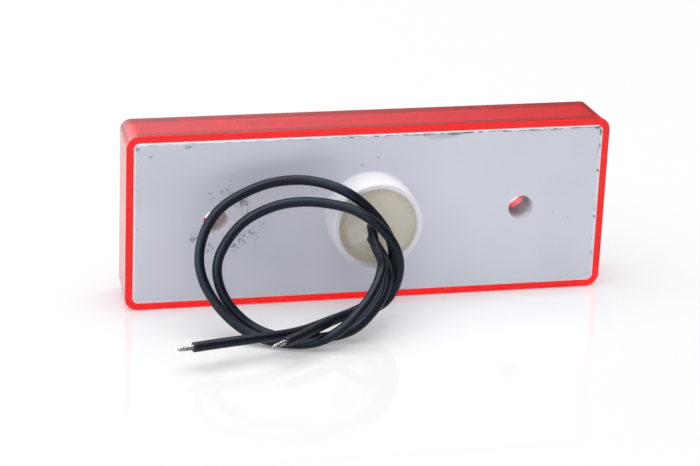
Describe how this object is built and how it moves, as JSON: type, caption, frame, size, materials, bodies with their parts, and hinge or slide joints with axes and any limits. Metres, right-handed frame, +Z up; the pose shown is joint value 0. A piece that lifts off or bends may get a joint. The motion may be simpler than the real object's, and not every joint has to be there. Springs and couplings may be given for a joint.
{
  "type": "trailer tail light",
  "caption": "Sealed red rectangular trailer tail light with a white rear base, through screw holes, a potted cable boss and black lead wires with bare ends.",
  "frame": {"origin": "middle of the lamp's lower edge, at the middle of its depth from lens front to boss tip, without the wires", "axes": "+X along the lamp to the right seen from behind, +Y out of the lens front, +Z up"},
  "size_m": [0.11, 0.0489, 0.041],
  "materials": {
    "lens": "clear red polycarbonate, polished",
    "base": "white moulded ABS, fine texture",
    "potting": "cast cream sealing compound, satin",
    "board": "white solder mask on glass-fibre board",
    "led": "clear red epoxy",
    "tinned": "tinned copper and solder",
    "resistor": "lacquered",
    "diode": "moulded epoxy",
    "wire": "black PVC insulation, satin"
  },
  "bodies": {
    "root": {"lens": "lens", "rear_base": "base", "potting_plug": "potting", "circuit_board": "board", "led_1": "led", "led_2": "led", "led_3": "led", "led_4": "led", "led_5": "led", "led_6": "led", "led_leads": "tinned", "resistor_1": "resistor", "resistor_2": "resistor", "diode": "diode", "component_leads": "tinned", "solder_joints": "tinned", "wire_a": "wire", "wire_b": "wire", "wire_a_tip": "tinned", "wire_b_tip": "tinned", "wire_a_core": "tinned", "wire_b_core": "tinned"}
  },
  "joints": []
}
